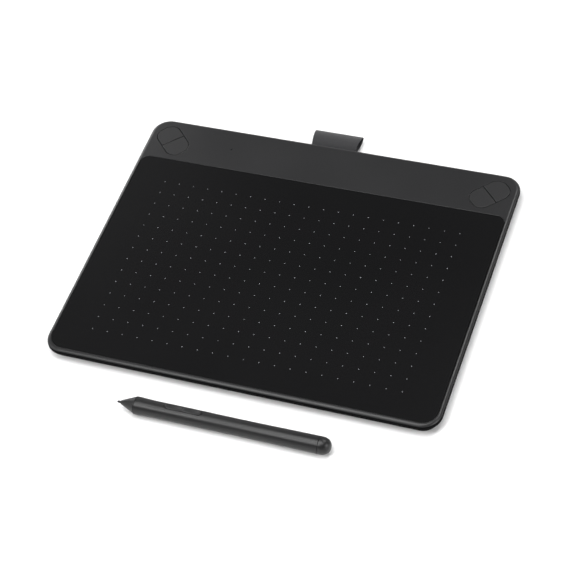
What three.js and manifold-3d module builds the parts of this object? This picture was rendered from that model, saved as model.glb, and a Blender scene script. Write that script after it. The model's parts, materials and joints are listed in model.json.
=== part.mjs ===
// A pen drawing tablet and its pen, lying on a desk. Millimetres, +Z up.
// The origin is the centre of the set's footprint on the desk; +X is right, +Y is towards the back edge.

import * as THREE from 'three';
import { mergeVertices } from 'three/addons/utils/BufferGeometryUtils.js';
import Module from 'manifold-3d';

const wasm = await Module();
wasm.setup();

// ---------------------------------------------------------------- driving dimensions

const SET_CENTRE_SHIFT = 7.85; // tablet centre behind the set's centre, along Y

const WIDTH = 275;
const DEPTH = 217;
const TOP = 10;
const CORNER_RADIUS = 13;
const BACK = DEPTH / 2;
const SIDE = WIDTH / 2;

const EDGE = { inset: 2.6, drop: 2.2 }; // the oval rounding along the upper edge of the top case
const PARTING_TOP = 6.6; // lower rim of the top case
const PARTING_BOTTOM = 6.4; // upper rim of the bottom case
const UNDERSIDE = 1.2;
const CHAMFER = { inset: 3, height: PARTING_BOTTOM - UNDERSIDE };
const FLOOR = 2.7; // inner face of the bottom case
const ROOT = FLOOR - 0.5; // ribs, posts and bosses run this low into the floor
const TOP_WALL = 1.8;
const BOTTOM_WALL = 1.6;
const STRIP_CEILING = 8.4; // inner face of the top case behind the drawing area
const SHEET_CEILING = 8.3; // inner face of the top case under the drawing area
const BEYOND = 5; // how far a cutting tool runs past the outside

const SHEET = { left: -134.4, right: 134.4, front: -105.1, back: 71.1, top: 9.9, thickness: 0.55 };
const SHEET_CORNER = { front: 10, back: 6 };
const SHEET_GAP = 0.15;
const GLUE = 0.05; // under the sheet

const KEY_PAD = { x: 118.2, y: 88.7, length: 29, width: 18, radius: 7.6, angle: Math.PI / 4 };
const KEY = { gap: 0.3, split: 0.25, top: 10.15, bevel: 0.35 };
const KEY_FLANGE = { width: 0.9, top: 8.2, bottom: 7.65 };
const KEY_POST = { along: 6.6, radius: 1.6, bottom: 7.45 }; // along the pad from its middle
const KEY_SWITCH = { half: 2.5, top: 6.5, plunger: 1.2, plungerTop: 6.9 };

const BOARD = { bottom: 4.4, top: 5.4, front: 58, back: 102, corner: 6 };
const BOARD_ENDS = { side: 131, left: -64, right: 29 }; // the outer ends, and the two boards' inner ends
const BOARD_POST = { radius: 2.4, top: BOARD.bottom - 0.1 };
const BOARD_POST_PLACES = [[-124, 63], [-70, 63], [-70, 98], [36, 63], [36, 98], [124, 63]];
const SENSOR = { side: 114, front: -90, back: 56, bottom: 7.0, top: 8.0 };
const SHIELD = { bottom: 6.2, top: 6.7 };
const CONTROLLER = { left: 44, right: 60, front: 72, back: 88, top: 7.2 };
const RIBBON = { front: 60, back: 66, overlap: 4, thickness: 0.25 };
const FLEX = { left: 60, right: 85, drop: 57.1, overlap: 8, thickness: 0.15 };
const CONTACT = 0.05; // between a cable's end and its board

const RIB = { half: 0.6, top: 6, left: -110, right: 110, front: -85, back: 50 };
const RIBS_ACROSS = [-75, -35, 5, 40];
const RIBS_ALONG = [-80, -40, 0, 40, 80];

const BAY = { left: -60, right: 25, front: 70, back: 95, ceiling: 7.4, roof: 8.2, wall: 1.2 };
const BAY_PAD = { beside: 2.6, before: 1.8, back: 104, top: 4.0 };
const COVER = { left: -63.8, right: 28.8, front: 66.2, top: 2.4, tongue: 1.0, tongueBottom: 1.9, hooks: 6 };
const COVER_GAP = 0.2;
const COVER_GRIP = { left: -27, right: -8, y: 96, pitch: 2.4, count: 4, width: 0.9, bottom: 0.8, top: 1.4 };
const CONNECTOR = { left: 20, right: 28.6, front: 77, back: 89, bottom: 4.6, top: 7.0 };
const HOLDER = { left: -57, right: -30, front: 73, back: 88, corner: 2, bottom: 4.4, top: 7.2 };
const HOLDER_GROOVE = { left: -55, right: -43, y: 76.2, pitch: 4, half: 1, top: 6.4, count: 3 };
const SPARE_NIB = { start: -54.6, z: 5.4, radius: 0.8, length: 11.2 };
const PULLER = { x: -16, y: 80, z: 4.6, inner: 3.2, outer: 3.9, width: 2.2, gap: 0.8 };

const LOOP = {
  x: -2.5, halfWidth: 17.2, middle: 5.7, neck: 1.6, ply: 0.8, start: 108.9, end: 124.8, bulge: 3.2,
};
const LOOP_TAIL = { front: 97.2, gap: 0.7 };
const LOOP_SLOT = { front: 103, beside: 0.4, below: 1.1, top: 7 };
const CLAMP = { halfWidth: 24, front: 97.4, back: 103.4, bottom: 6.6, top: 7.9, counterbore: 7.1 };
const CLAMP_SCREW = { x: 21, y: 100.4, head: 1.7, headTop: 8.05, shank: 0.85, end: 3.6 };
const CLAMP_BOSS = { radius: 2.5, top: 6.4, pilot: 0.95, pilotBottom: 3.2 };

const USB = { y: 66, width: 7.8, bottom: 5.5, top: 8.1, wall: 0.35, outer: -137.1, inner: -130.4 };
const USB_TONGUE = { halfWidth: 2.4, bottom: 6.7, top: 7.2, inset: 1.2, root: 0.4 };
const USB_OPENING = { half: 4.2, reach: 9, bottom: USB.bottom - 0.3 };
const TOUCH = { x: 70, bottom: 5.5, top: 8.0, length: 12, front: 97, back: 101.8, travel: 2.5 };
const TOUCH_SLOT = { half: 3.5, bottom: 6.7, top: 8.1, depth: 5 };
const TOUCH_CHANNEL = { half: 4, front: 99, bottom: 6.6, top: 7.8 };
const SLIDER = { half: 2.4, front: 99.3, back: 103.5 };
const KNOB = { half: 1.2, bottom: 6.8, top: 7.6, inset: 0.4 };
const LED = { x: -72.9, y: 89.8, halfLength: 0.8, halfWidth: 0.5, top: 6.1 };
const PIPE = { radius: 0.6, hole: 0.75, bottom: 6.4, top: TOP - 0.05 };
const PIPE_COLLAR = { radius: 1.3, bottom: 7.5, top: 8.3 };

const FOOT = { length: 24, width: 8, pocketTop: 1.7, pocketGap: 0.15, top: 1.65 };
const FEET = [
  { name: 'front_left_foot', x: -118, y: -92 },
  { name: 'front_right_foot', x: 118, y: -92 },
  { name: 'back_left_foot', x: -94, y: 94 },
  { name: 'back_right_foot', x: 94, y: 94 },
];
const FRONT_MIDDLE_SCREW = { x: 0, y: -98 };
const SCREW_PLACES = [...FEET, FRONT_MIDDLE_SCREW];
const CASE_SCREW = { head: 1.9, headBottom: 2.1, headTop: 3.1, shank: 0.95, end: 7.6 };
const SCREW_SLOT = { reach: 1.1, half: 0.25, top: 2.6 };
const TOP_BOSS = { radius: 2.6, bottom: 4.5, pilot: 1.05, pilotTop: 7.8 };
const BOTTOM_BOSS = { radius: 3.4, top: 4.4, headHole: 2.1, headHoleTop: 3.15, shankHole: 1.2 };

const PEN = { tipX: -71.4, tipY: -134.45, height: 6.05, switchTilt: 0.22 }; // its length lies along X
const PEN_SWITCH = { start: 34.2, pivot: 46.8, end: 59.8, halfWidth: 2.1, gap: 0.35, bottom: 4.0, top: 6.15 };
const DISH = { along: 6.2, radius: 30, depth: 0.45 }; // the two finger dishes in the side switch
const SWITCH_GROOVE = { half: 0.3, depth: 0.45 };
const SWITCH_POST = { along: 6.5, radius: 0.9, bottom: 3.4 }; // along the pen from the pivot
const TACT_SWITCH = { half: 1.6, bottom: 0.9, top: 2.3, plunger: 0.8, plungerTop: 2.8 };
const PEN_BOARD = { start: 36.5, end: 86, half: 3, bottom: 0.1, top: 0.9 };
const PEN_FRAME = { start: 34.5, end: 128, outer: 4.2, inner: 3.4 };
const PEN_BRACE = { half: 3.6, bottom: -2.6, top: -0.3, places: [[34.5, 36], [88, 90]] };

// ---------------------------------------------------------------- materials

function finish(color, roughness, metalness = 0) {
  return new THREE.MeshStandardMaterial({ color, roughness, metalness });
}

const blackPlastic = finish(0x35363a, 0.55);
const darkPlastic = finish(0x232427, 0.6);
const sheetFilm = finish(0x2a2b2e, 0.75);
const keyPlastic = finish(0x404144, 0.5);
const penPlastic = finish(0x2b2c2e, 0.4);
const nibPlastic = finish(0x1b1b1c, 0.5);
const textile = finish(0x38393c, 0.95);
const rubber = finish(0x202022, 0.9);
const boardLaminate = finish(0x1f5a35, 0.5);
const flexFilm = finish(0xb57a2e, 0.5);
const steel = finish(0x8d9196, 0.35, 1);
const plated = finish(0xb9bcc0, 0.3, 1);
const switchPlastic = finish(0x2e2e30, 0.6);
const clearPlastic = finish(0xe8edf0, 0.2);
const ferrite = finish(0x3a3b3d, 0.8);
const copper = finish(0xb4693c, 0.35, 1);

// ---------------------------------------------------------------- helpers

function solid(geometry) {
  const bare = geometry.clone();
  bare.deleteAttribute('normal');
  bare.deleteAttribute('uv');
  const merged = mergeVertices(bare);
  const index = merged.index.array;
  const triangles = [];
  for (let i = 0; i < index.length; i += 3) {
    const [a, b, c] = index.slice(i, i + 3);
    if (a !== b && b !== c && c !== a) triangles.push(a, b, c);
  }
  const vertProperties = new Float32Array(merged.attributes.position.array);
  const triVerts = new Uint32Array(triangles);
  return new wasm.Manifold(new wasm.Mesh({ numProp: 3, vertProperties, triVerts }));
}

function geometryOf(manifold) {
  const { vertProperties, triVerts } = manifold.getMesh();
  const geometry = new THREE.BufferGeometry();
  geometry.setAttribute('position', new THREE.BufferAttribute(vertProperties, 3));
  geometry.setIndex(new THREE.BufferAttribute(triVerts, 1));
  geometry.computeVertexNormals();
  return geometry;
}

function join(...geometries) {
  return geometries.map(solid).reduce((whole, piece) => whole.add(piece));
}

// The first solid less everything else in the list.
function cut(body, ...tools) {
  return tools.map(solid).reduce((whole, tool) => whole.subtract(tool), body);
}

function box(x0, x1, y0, y1, z0, z1) {
  const geometry = new THREE.BoxGeometry(x1 - x0, y1 - y0, z1 - z0);
  return geometry.translate((x0 + x1) / 2, (y0 + y1) / 2, (z0 + z1) / 2);
}

// A box that reaches as far to the left of x as to the right.
function boxAbout(x, half, y0, y1, z0, z1) {
  return box(x - half, x + half, y0, y1, z0, z1);
}

function post(x, y, radius, z0, z1, sides = 14) {
  const geometry = new THREE.CylinderGeometry(radius, radius, z1 - z0, sides);
  return geometry.rotateX(Math.PI / 2).translate(x, y, (z0 + z1) / 2);
}

function roundedRectangle(x0, x1, y0, y1, radius, backRadius = radius) {
  const shape = new THREE.Shape();
  shape.absarc(x1 - radius, y0 + radius, radius, -Math.PI / 2, 0);
  shape.absarc(x1 - backRadius, y1 - backRadius, backRadius, 0, Math.PI / 2);
  shape.absarc(x0 + backRadius, y1 - backRadius, backRadius, Math.PI / 2, Math.PI);
  shape.absarc(x0 + radius, y0 + radius, radius, Math.PI, Math.PI * 1.5);
  shape.closePath();
  return shape;
}

function plate(shape, z0, z1, curveSegments = 4) {
  const geometry = new THREE.ExtrudeGeometry(shape, { depth: z1 - z0, bevelEnabled: false, curveSegments });
  return geometry.translate(0, 0, z0);
}

// A section drawn in the Y-Z plane and extruded along X.
function alongX(shape, x0, x1, curveSegments = 8) {
  const geometry = new THREE.ExtrudeGeometry(shape, { depth: x1 - x0, bevelEnabled: false, curveSegments });
  const turn = new THREE.Matrix4();
  turn.makeBasis(new THREE.Vector3(0, 1, 0), new THREE.Vector3(0, 0, 1), new THREE.Vector3(1, 0, 0));
  return geometry.applyMatrix4(turn).translate(x0, 0, 0);
}

// A profile of [distance along X, radius] pairs turned about the X axis.
function turned(profile, sides = 24) {
  const points = profile.map(([along, radius]) => new THREE.Vector2(radius, along));
  return new THREE.LatheGeometry(points, sides).rotateZ(-Math.PI / 2);
}

function ring(x0, x1, inner, outer, sides = 18) {
  return turned([[x0, inner], [x0, outer], [x1, outer], [x1, inner], [x0, inner]], sides);
}

function addPiece(group, name, shape, material) {
  const geometry = shape.isBufferGeometry ? shape : geometryOf(shape);
  const mesh = new THREE.Mesh(geometry, material);
  mesh.name = name;
  group.add(mesh);
  return mesh;
}

// ---------------------------------------------------------------- case outlines

function outline(inset) {
  return roundedRectangle(inset - SIDE, SIDE - inset, inset - BACK, BACK - inset, CORNER_RADIUS - inset);
}

function sheetOutline(gap) {
  const { left, right, front, back } = SHEET;
  return roundedRectangle(left - gap, right + gap, front - gap, back + gap, SHEET_CORNER.front + gap,
    SHEET_CORNER.back + gap);
}

// The tablet's outline extruded with an edge that swells outwards over a given height at both ends.
function edgedForm(inset, bevelSize, bevelThickness, bevelSegments, z0, depth) {
  const options = { depth, bevelSize, bevelThickness, bevelSegments, curveSegments: 6 };
  return new THREE.ExtrudeGeometry(outline(inset), options).translate(0, 0, z0 + bevelThickness);
}

// Flat underside at height z0, sloping out to the full outline less the wall.
function hullForm(wall, z0) {
  const inset = CHAMFER.inset + wall;
  return edgedForm(inset, CHAMFER.inset, CHAMFER.height, 1, z0, PARTING_BOTTOM);
}

function roundedTopForm() {
  const straight = TOP - 2 * EDGE.drop;
  return edgedForm(EDGE.inset, EDGE.inset, EDGE.drop, 3, 0, straight);
}

function keyPadPlace(side) {
  const turn = new THREE.Matrix4().makeRotationZ(side * KEY_PAD.angle);
  return turn.setPosition(side * KEY_PAD.x, KEY_PAD.y, 0);
}

function keyPadOpening(side) {
  const { length, width, radius } = KEY_PAD;
  const shape = roundedRectangle(-length / 2, length / 2, -width / 2, width / 2, radius);
  return plate(shape, STRIP_CEILING - 1, TOP + 1, 6).applyMatrix4(keyPadPlace(side));
}

function usbOpening(z0, z1) {
  const { half, reach } = USB_OPENING;
  return box(-SIDE - BEYOND, reach - SIDE, USB.y - half, USB.y + half, z0, z1);
}

// ---------------------------------------------------------------- shells

function topCase() {
  const { half, bottom, top, depth } = TOUCH_SLOT;
  const stripInset = 4;
  const recessFloor = SHEET.top - SHEET.thickness - GLUE;
  const shell = cut(
    solid(roundedTopForm()),
    box(-SIDE - BEYOND, SIDE + BEYOND, -BACK - BEYOND, BACK + BEYOND, -1, PARTING_TOP),
    plate(outline(TOP_WALL), 0, SHEET_CEILING, 6),
    box(stripInset - SIDE, SIDE - stripInset, SHEET.back + 1, BACK - stripInset, 0, STRIP_CEILING),
    plate(sheetOutline(SHEET_GAP), recessFloor, TOP + 1, 6),
    keyPadOpening(-1),
    keyPadOpening(1),
    post(LED.x, LED.y, PIPE.hole, STRIP_CEILING - 1, TOP + 1, 16),
    usbOpening(PARTING_TOP - 1, SHEET_CEILING),
    boxAbout(TOUCH.x, half, BACK - depth, BACK + BEYOND, bottom, top),
  );
  const { radius, pilot, pilotTop } = TOP_BOSS;
  const bosses = SCREW_PLACES.map(({ x, y }) => post(x, y, radius, TOP_BOSS.bottom, STRIP_CEILING + 0.3));
  const pilots = SCREW_PLACES.map(({ x, y }) => post(x, y, pilot, 0, pilotTop, 12));
  return cut(shell.add(join(...bosses)), ...pilots);
}

function supportRibs() {
  const { half, top, left, right, front, back } = RIB;
  const across = RIBS_ACROSS.map((y) => box(left, right, y - half, y + half, ROOT, top));
  const along = RIBS_ALONG.map((x) => box(x - half, x + half, front, back, ROOT, top));
  return [...across, ...along];
}

function footShape({ x, y }, gap) {
  const half = FOOT.length / 2 + gap;
  const side = FOOT.width / 2 + gap;
  return roundedRectangle(x - half, x + half, y - side, y + side, side);
}

// What stands on the floor of the bottom case.
function bottomFittings() {
  const wall = BAY.wall;
  const { beside, before } = BAY_PAD;
  return join(
    box(BAY.left - wall, BAY.right + wall, BAY.front - wall, BAY.back + wall, ROOT, BAY.roof),
    box(COVER.left - beside, COVER.right + beside, COVER.front - before, BAY_PAD.back, ROOT, BAY_PAD.top),
    ...supportRibs(),
    ...BOARD_POST_PLACES.map(([x, y]) => post(x, y, BOARD_POST.radius, ROOT, BOARD_POST.top, 16)),
    ...SCREW_PLACES.map(({ x, y }) => post(x, y, BOTTOM_BOSS.radius, ROOT, BOTTOM_BOSS.top)),
    ...[-1, 1].map((side) => clampPost(side, CLAMP_BOSS.radius, BAY_PAD.top - 1, CLAMP_BOSS.top, 16)),
  );
}

function bottomCase() {
  const shell = cut(
    solid(hullForm(0, UNDERSIDE)),
    hullForm(BOTTOM_WALL, FLOOR),
    box(-SIDE - BEYOND, SIDE + BEYOND, -BACK - BEYOND, BACK + BEYOND, PARTING_BOTTOM, 30),
  );
  const fittings = bottomFittings().intersect(solid(hullForm(0.2, UNDERSIDE + 0.1)));
  const groove = COVER.tongue + COVER_GAP;
  const slotHalf = LOOP.halfWidth + LOOP_SLOT.beside;
  const front = COVER.front - COVER_GAP;
  const { right, wall } = BAY;
  return cut(
    shell.add(fittings),
    box(BAY.left, right, BAY.front, BAY.back, 0, BAY.ceiling),
    box(COVER.left - COVER_GAP, COVER.right + COVER_GAP, front, BACK + BEYOND, 0, FLOOR),
    box(COVER.left - groove, COVER.right + groove, front, BACK + BEYOND, COVER.tongueBottom - 0.1, FLOOR),
    box(right - 1, right + wall + 1, CONNECTOR.front - 0.2, CONNECTOR.back + 0.2, CONNECTOR.bottom - 0.1,
      CONNECTOR.top + 0.1),
    boxAbout(LOOP.x, slotHalf, LOOP_SLOT.front, BACK + BEYOND, LOOP.middle - LOOP_SLOT.below, LOOP_SLOT.top),
    usbOpening(USB_OPENING.bottom, PARTING_TOP),
    ...FEET.map((place) => plate(footShape(place, FOOT.pocketGap), 0, FOOT.pocketTop, 5)),
    ...SCREW_PLACES.map(({ x, y }) => post(x, y, BOTTOM_BOSS.headHole, 0, BOTTOM_BOSS.headHoleTop)),
    ...SCREW_PLACES.map(({ x, y }) => post(x, y, BOTTOM_BOSS.shankHole, FLOOR, BOARD.top, 12)),
    ...[-1, 1].map((side) => clampPost(side, CLAMP_BOSS.pilot, CLAMP_BOSS.pilotBottom, TOP, 12)),
  );
}

function bayCover() {
  const { left, right, front, top, tongue, tongueBottom, hooks } = COVER;
  const { y, pitch, count, width } = COVER_GRIP;
  const lid = join(
    box(left, right, front, BACK, UNDERSIDE, top),
    box(left - tongue, right + tongue, front, BACK - hooks, tongueBottom, top),
  ).intersect(solid(hullForm(0, UNDERSIDE)));
  const ribs = Array.from({ length: count }, (_, i) => {
    const start = y + (i - (count - 1) / 2) * pitch;
    return box(COVER_GRIP.left, COVER_GRIP.right, start, start + width, COVER_GRIP.bottom, COVER_GRIP.top);
  });
  return lid.add(join(...ribs));
}

function caseScrew(x, y) {
  const { head, headBottom, headTop, shank, end } = CASE_SCREW;
  const { reach, half, top } = SCREW_SLOT;
  const body = join(post(x, y, head, headBottom, headTop), post(x, y, shank, headTop - 0.1, end, 12));
  const along = box(x - reach, x + reach, y - half, y + half, 0, top);
  const across = box(x - half, x + half, y - reach, y + reach, 0, top);
  return cut(body, along, across);
}

// ---------------------------------------------------------------- keys and switches

function halfPad(length, width, radius, start) {
  const shape = new THREE.Shape();
  shape.moveTo(start, -width);
  shape.absarc(length - radius, radius - width, radius, -Math.PI / 2, 0);
  shape.absarc(length - radius, width - radius, radius, 0, Math.PI / 2);
  shape.lineTo(start, width);
  shape.closePath();
  return shape;
}

// One half of a key pad, drawn along +X: cap, retaining flange and the post over its switch.
function keyBody() {
  const { gap, split, top, bevel } = KEY;
  const length = KEY_PAD.length / 2 - gap;
  const width = KEY_PAD.width / 2 - gap;
  const radius = KEY_PAD.radius - gap;
  const capShape = halfPad(length - bevel, width - bevel, radius - bevel, split + bevel);
  const options = {
    depth: top - KEY_FLANGE.bottom - 2 * bevel,
    bevelSize: bevel,
    bevelThickness: bevel,
    bevelSegments: 1,
    curveSegments: 6,
  };
  const cap = new THREE.ExtrudeGeometry(capShape, options).translate(0, 0, KEY_FLANGE.bottom + bevel);
  const grow = KEY_FLANGE.width;
  const flangeShape = halfPad(length + grow, width + grow, radius + grow, split);
  const flange = plate(flangeShape, KEY_FLANGE.bottom, KEY_FLANGE.top, 5);
  return join(cap, flange, post(KEY_POST.along, 0, KEY_POST.radius, KEY_POST.bottom, KEY_FLANGE.top, 16));
}

function keySwitch(x, y) {
  const { half, top, plunger, plungerTop } = KEY_SWITCH;
  const body = box(x - half, x + half, y - half, y + half, BOARD.top, top);
  return join(body, post(x, y, plunger, top - 0.1, plungerTop, 16));
}

function keyPlace(side, end) {
  const turn = keyPadPlace(side);
  return end > 0 ? turn : turn.multiply(new THREE.Matrix4().makeRotationZ(Math.PI));
}

// side: -1 left, 1 right. The outer key of a pad is the one at the corner of the tablet.
function addKeys(group) {
  for (const side of [-1, 1]) {
    for (const end of [-1, 1]) {
      const label = `${side < 0 ? 'left' : 'right'}_${end === side ? 'outer' : 'inner'}`;
      const place = keyPlace(side, end);
      const key = addPiece(group, `${label}_key`, keyBody(), keyPlastic);
      key.applyMatrix4(place);
      const under = new THREE.Vector3(KEY_POST.along, 0, 0).applyMatrix4(place);
      addPiece(group, `${label}_key_switch`, keySwitch(under.x, under.y), switchPlastic);
    }
  }
}

// ---------------------------------------------------------------- electronics

// A board behind the drawing area, with a hole round a screw boss.
function keyBoard(x0, x1, screwPlace) {
  const outlineShape = roundedRectangle(x0, x1, BOARD.front, BOARD.back, BOARD.corner);
  const board = solid(plate(outlineShape, BOARD.bottom, BOARD.top, 4));
  return cut(board, post(screwPlace.x, screwPlace.y, BOTTOM_BOSS.radius + 0.4, 0, TOP, 16));
}

// From the sensor board down behind it to the main board.
function sensorFlex() {
  const { left, right, drop, overlap, thickness } = FLEX;
  const low = BOARD.top + CONTACT;
  const high = SENSOR.top + CONTACT;
  const shape = new THREE.Shape();
  shape.moveTo(SENSOR.back - overlap, high);
  shape.lineTo(drop - thickness, high);
  shape.lineTo(drop - thickness, low);
  shape.lineTo(BOARD.front + overlap, low);
  shape.lineTo(BOARD.front + overlap, low + thickness);
  shape.lineTo(drop, low + thickness);
  shape.lineTo(drop, high + thickness);
  shape.lineTo(SENSOR.back - overlap, high + thickness);
  shape.closePath();
  return alongX(shape, left, right);
}

function usbShell() {
  const { y, bottom, top, wall, outer, inner } = USB;
  const half = USB.width / 2;
  const shell = box(outer, inner, y - half, y + half, bottom, top);
  const mouth = box(outer - 1, inner - wall, y - half + wall, y + half - wall, bottom + wall, top - wall);
  return cut(solid(shell), mouth);
}

function controllerShield() {
  const { left, right, front, back, top } = CONTROLLER;
  return box(left, right, front, back, BOARD.top, top);
}

// Joins the two boards over the gap between their inner ends.
function ribbonCable() {
  const { front, back, overlap, thickness } = RIBBON;
  const bottom = BOARD.top + CONTACT;
  return box(BOARD_ENDS.left - overlap, BOARD_ENDS.right + overlap, front, back, bottom, bottom + thickness);
}

function statusLed() {
  const { x, y, halfLength, halfWidth, top } = LED;
  return box(x - halfLength, x + halfLength, y - halfWidth, y + halfWidth, BOARD.top, top);
}

function usbTongue() {
  const { halfWidth, bottom, top, inset, root } = USB_TONGUE;
  return box(USB.outer + inset, USB.inner - root, USB.y - halfWidth, USB.y + halfWidth, bottom, top);
}

function accessoryConnector() {
  const { left, right, front, back, bottom, top } = CONNECTOR;
  return box(left, right, front, back, bottom, top);
}

function lightPipe() {
  return join(
    post(LED.x, LED.y, PIPE.radius, PIPE.bottom, PIPE.top, 16),
    post(LED.x, LED.y, PIPE_COLLAR.radius, PIPE_COLLAR.bottom, PIPE_COLLAR.top, 16),
  );
}

function addElectronics(group) {
  const { side, front, back } = SENSOR;
  const [leftFoot, rightFoot] = FEET.slice(2);
  addPiece(group, 'sensor_board', box(-side, side, front, back, SENSOR.bottom, SENSOR.top), boardLaminate);
  addPiece(group, 'shield_plate', box(-side, side, front, back, SHIELD.bottom, SHIELD.top), steel);
  addPiece(group, 'main_board', keyBoard(BOARD_ENDS.right, BOARD_ENDS.side, rightFoot), boardLaminate);
  addPiece(group, 'left_key_board', keyBoard(-BOARD_ENDS.side, BOARD_ENDS.left, leftFoot), boardLaminate);
  addPiece(group, 'controller_shield', controllerShield(), plated);
  addPiece(group, 'key_ribbon_cable', ribbonCable(), flexFilm);
  addPiece(group, 'sensor_flex_cable', sensorFlex(), flexFilm);
  addPiece(group, 'status_led', statusLed(), clearPlastic);
  addPiece(group, 'status_light_pipe', lightPipe(), clearPlastic);
  addPiece(group, 'usb_shell', usbShell(), plated);
  addPiece(group, 'usb_tongue', usbTongue(), switchPlastic);
  addPiece(group, 'accessory_connector', accessoryConnector(), switchPlastic);
}

function addTouchSwitch(group) {
  const { x, bottom, top, length, front, back, travel } = TOUCH;
  const body = boxAbout(x, length / 2, front, back, bottom, top);
  const groove = TOUCH_CHANNEL;
  const channel = boxAbout(x, groove.half, groove.front, back + 1, groove.bottom, groove.top);
  addPiece(group, 'touch_switch_body', cut(solid(body), channel), switchPlastic);
  const start = x - travel / 2;
    const slider = boxAbout(start, SLIDER.half, SLIDER.front, SLIDER.back, KNOB.bottom, KNOB.top);
  const stem = boxAbout(start, KNOB.half, SLIDER.back - 0.5, BACK - KNOB.inset, KNOB.bottom, KNOB.top);
  addPiece(group, 'touch_switch_knob', join(slider, stem), keyPlastic);
}

// ---------------------------------------------------------------- accessory bay

function grooveRows() {
  const { y, pitch, count } = HOLDER_GROOVE;
  return Array.from({ length: count }, (_, row) => y + row * pitch);
}

function nibHolder() {
  const { left, right, front, back, corner, bottom, top } = HOLDER;
  const block = plate(roundedRectangle(left, right, front, back, corner), bottom, top, 4);
  const groove = HOLDER_GROOVE;
  const cutters = grooveRows().map((y) => {
    return box(groove.left, groove.right, y - groove.half, y + groove.half, 0, groove.top);
  });
  return cut(solid(block), ...cutters);
}

function spareNib() {
  const { radius, length } = SPARE_NIB;
  const profile = [[0, 0], [0, 0.6], [0.5, radius], [length - 1, radius], [length - 0.2, 0.45], [length, 0]];
  return turned(profile, 12);
}

function pullerRing() {
  const { x, y, z, inner, outer, width, gap } = PULLER;
  const band = ring(0, width, inner, outer, 18).rotateY(-Math.PI / 2).translate(x, y, z);
  return cut(solid(band), box(x - gap / 2, x + gap / 2, y, y + outer + 1, 0, TOP));
}

function addBayContents(group) {
  addPiece(group, 'nib_holder', nibHolder(), rubber);
  grooveRows().forEach((y, row) => {
    const nib = addPiece(group, `spare_nib_${row + 1}`, spareNib(), nibPlastic);
    nib.position.set(SPARE_NIB.start, y, SPARE_NIB.z);
  });
  addPiece(group, 'nib_puller_ring', pullerRing(), plated);
}

// ---------------------------------------------------------------- pen loop

function clampPost(side, radius, z0, z1, sides) {
  return post(LOOP.x + side * CLAMP_SCREW.x, CLAMP_SCREW.y, radius, z0, z1, sides);
}

// The folded tape's side view: it opens from the neck to its widest and closes to a blunt end.
function teardrop(offset, start, end) {
  const { middle, neck, bulge } = LOOP;
  const rise = bulge - offset;
  const curve = [
    new THREE.Vector2(start + 1.6, neck * 0.6 - offset / 2),
    new THREE.Vector2(start + 4.2, rise * 0.93),
    new THREE.Vector2(start + 7.4, rise),
    new THREE.Vector2(start + 11, rise * 0.88),
    new THREE.Vector2(end - 1.2, rise * 0.45),
    new THREE.Vector2(end, 0),
  ];
  const upper = new THREE.SplineCurve(curve).getPoints(18);
  const lower = upper.slice(0, -1).reverse().map((point) => new THREE.Vector2(point.x, -point.y));
  return [...upper, ...lower].map((point) => new THREE.Vector2(point.x, point.y + middle));
}

function penLoop() {
  const { middle, neck, ply, start, end, halfWidth } = LOOP;
  const outer = [
    new THREE.Vector2(start, middle - neck / 2),
    new THREE.Vector2(start, middle + neck / 2),
    ...teardrop(0, start, end),
  ];
  const shape = new THREE.Shape(outer);
  const eye = teardrop(ply, start + 0.6, end - ply).reverse();
  shape.holes.push(new THREE.Path(eye));
  return alongX(shape, LOOP.x - halfWidth, LOOP.x + halfWidth);
}

function clampBar() {
  const { halfWidth, front, back, bottom, top, counterbore } = CLAMP;
  const bar = solid(boxAbout(LOOP.x, halfWidth, front, back, bottom, top));
  const holes = [-1, 1].map((side) => clampPost(side, CLAMP_SCREW.shank + 0.25, 0, TOP, 12));
  const counterbores = [-1, 1].map((side) => clampPost(side, CLAMP_SCREW.head + 0.2, counterbore, TOP, 16));
  return cut(bar, ...holes, ...counterbores);
}

function clampScrew(side) {
  const { head, headTop, shank, end } = CLAMP_SCREW;
  const seat = CLAMP.counterbore + 0.05;
  return join(clampPost(side, head, seat, headTop, 16), clampPost(side, shank, end, seat + 0.1, 12));
}

function addLoop(group) {
  const { middle, neck, start, halfWidth } = LOOP;
  addPiece(group, 'pen_loop', penLoop(), textile);
  const tailBack = start - LOOP_TAIL.gap;
  const tail = boxAbout(LOOP.x, halfWidth, LOOP_TAIL.front, tailBack, middle - neck / 2, middle + neck / 2);
  addPiece(group, 'pen_loop_tail', tail, textile);
  addPiece(group, 'loop_clamp_bar', clampBar(), blackPlastic);
  addPiece(group, 'loop_clamp_screw_left', clampScrew(-1), steel);
  addPiece(group, 'loop_clamp_screw_right', clampScrew(1), steel);
}

// ---------------------------------------------------------------- pen

// The pen is drawn along +X from its tip, with the side switch on top.
function penCone() {
  return turned([
    [2.7, 1.0], [2.7, 1.3], [3.3, 1.62], [12.4, 5.6], [13.2, 5.98], [13.5, 6.0],
    [13.5, 4.4], [18.5, 4.4], [18.5, 3.5], [10.5, 3.5], [7.5, 1.0], [2.7, 1.0],
  ], 28);
}

function penBarrel() {
  const shell = turned([
    [13.7, 4.6], [13.7, 6.02], [16, 5.98], [22, 5.78], [30, 5.68], [45, 5.68], [62, 5.6], [78, 5.5],
    [95, 5.55], [115, 5.7], [132, 5.82], [139.3, 5.85], [139.3, 4.6], [13.7, 4.6],
  ], 28);
  const { start, end, halfWidth, gap } = PEN_SWITCH;
  const side = halfWidth + gap;
  const window = plate(roundedRectangle(start - gap, end + gap, -side, side, halfWidth), 1, TOP, 5);
  return cut(solid(shell), window);
}

function penEndCap() {
  return turned([
    [130, 0], [130, 4.4], [139.5, 4.4], [139.5, 5.85], [141.5, 5.8], [143.6, 5.35], [145.3, 4.4],
    [146.5, 2.9], [147, 1.2], [147.1, 0],
  ], 28);
}

function penNib() {
  return turned([[0, 0], [0.12, 0.42], [0.45, 0.7], [1.0, 0.8], [26, 0.8], [26, 0]], 16);
}

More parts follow.
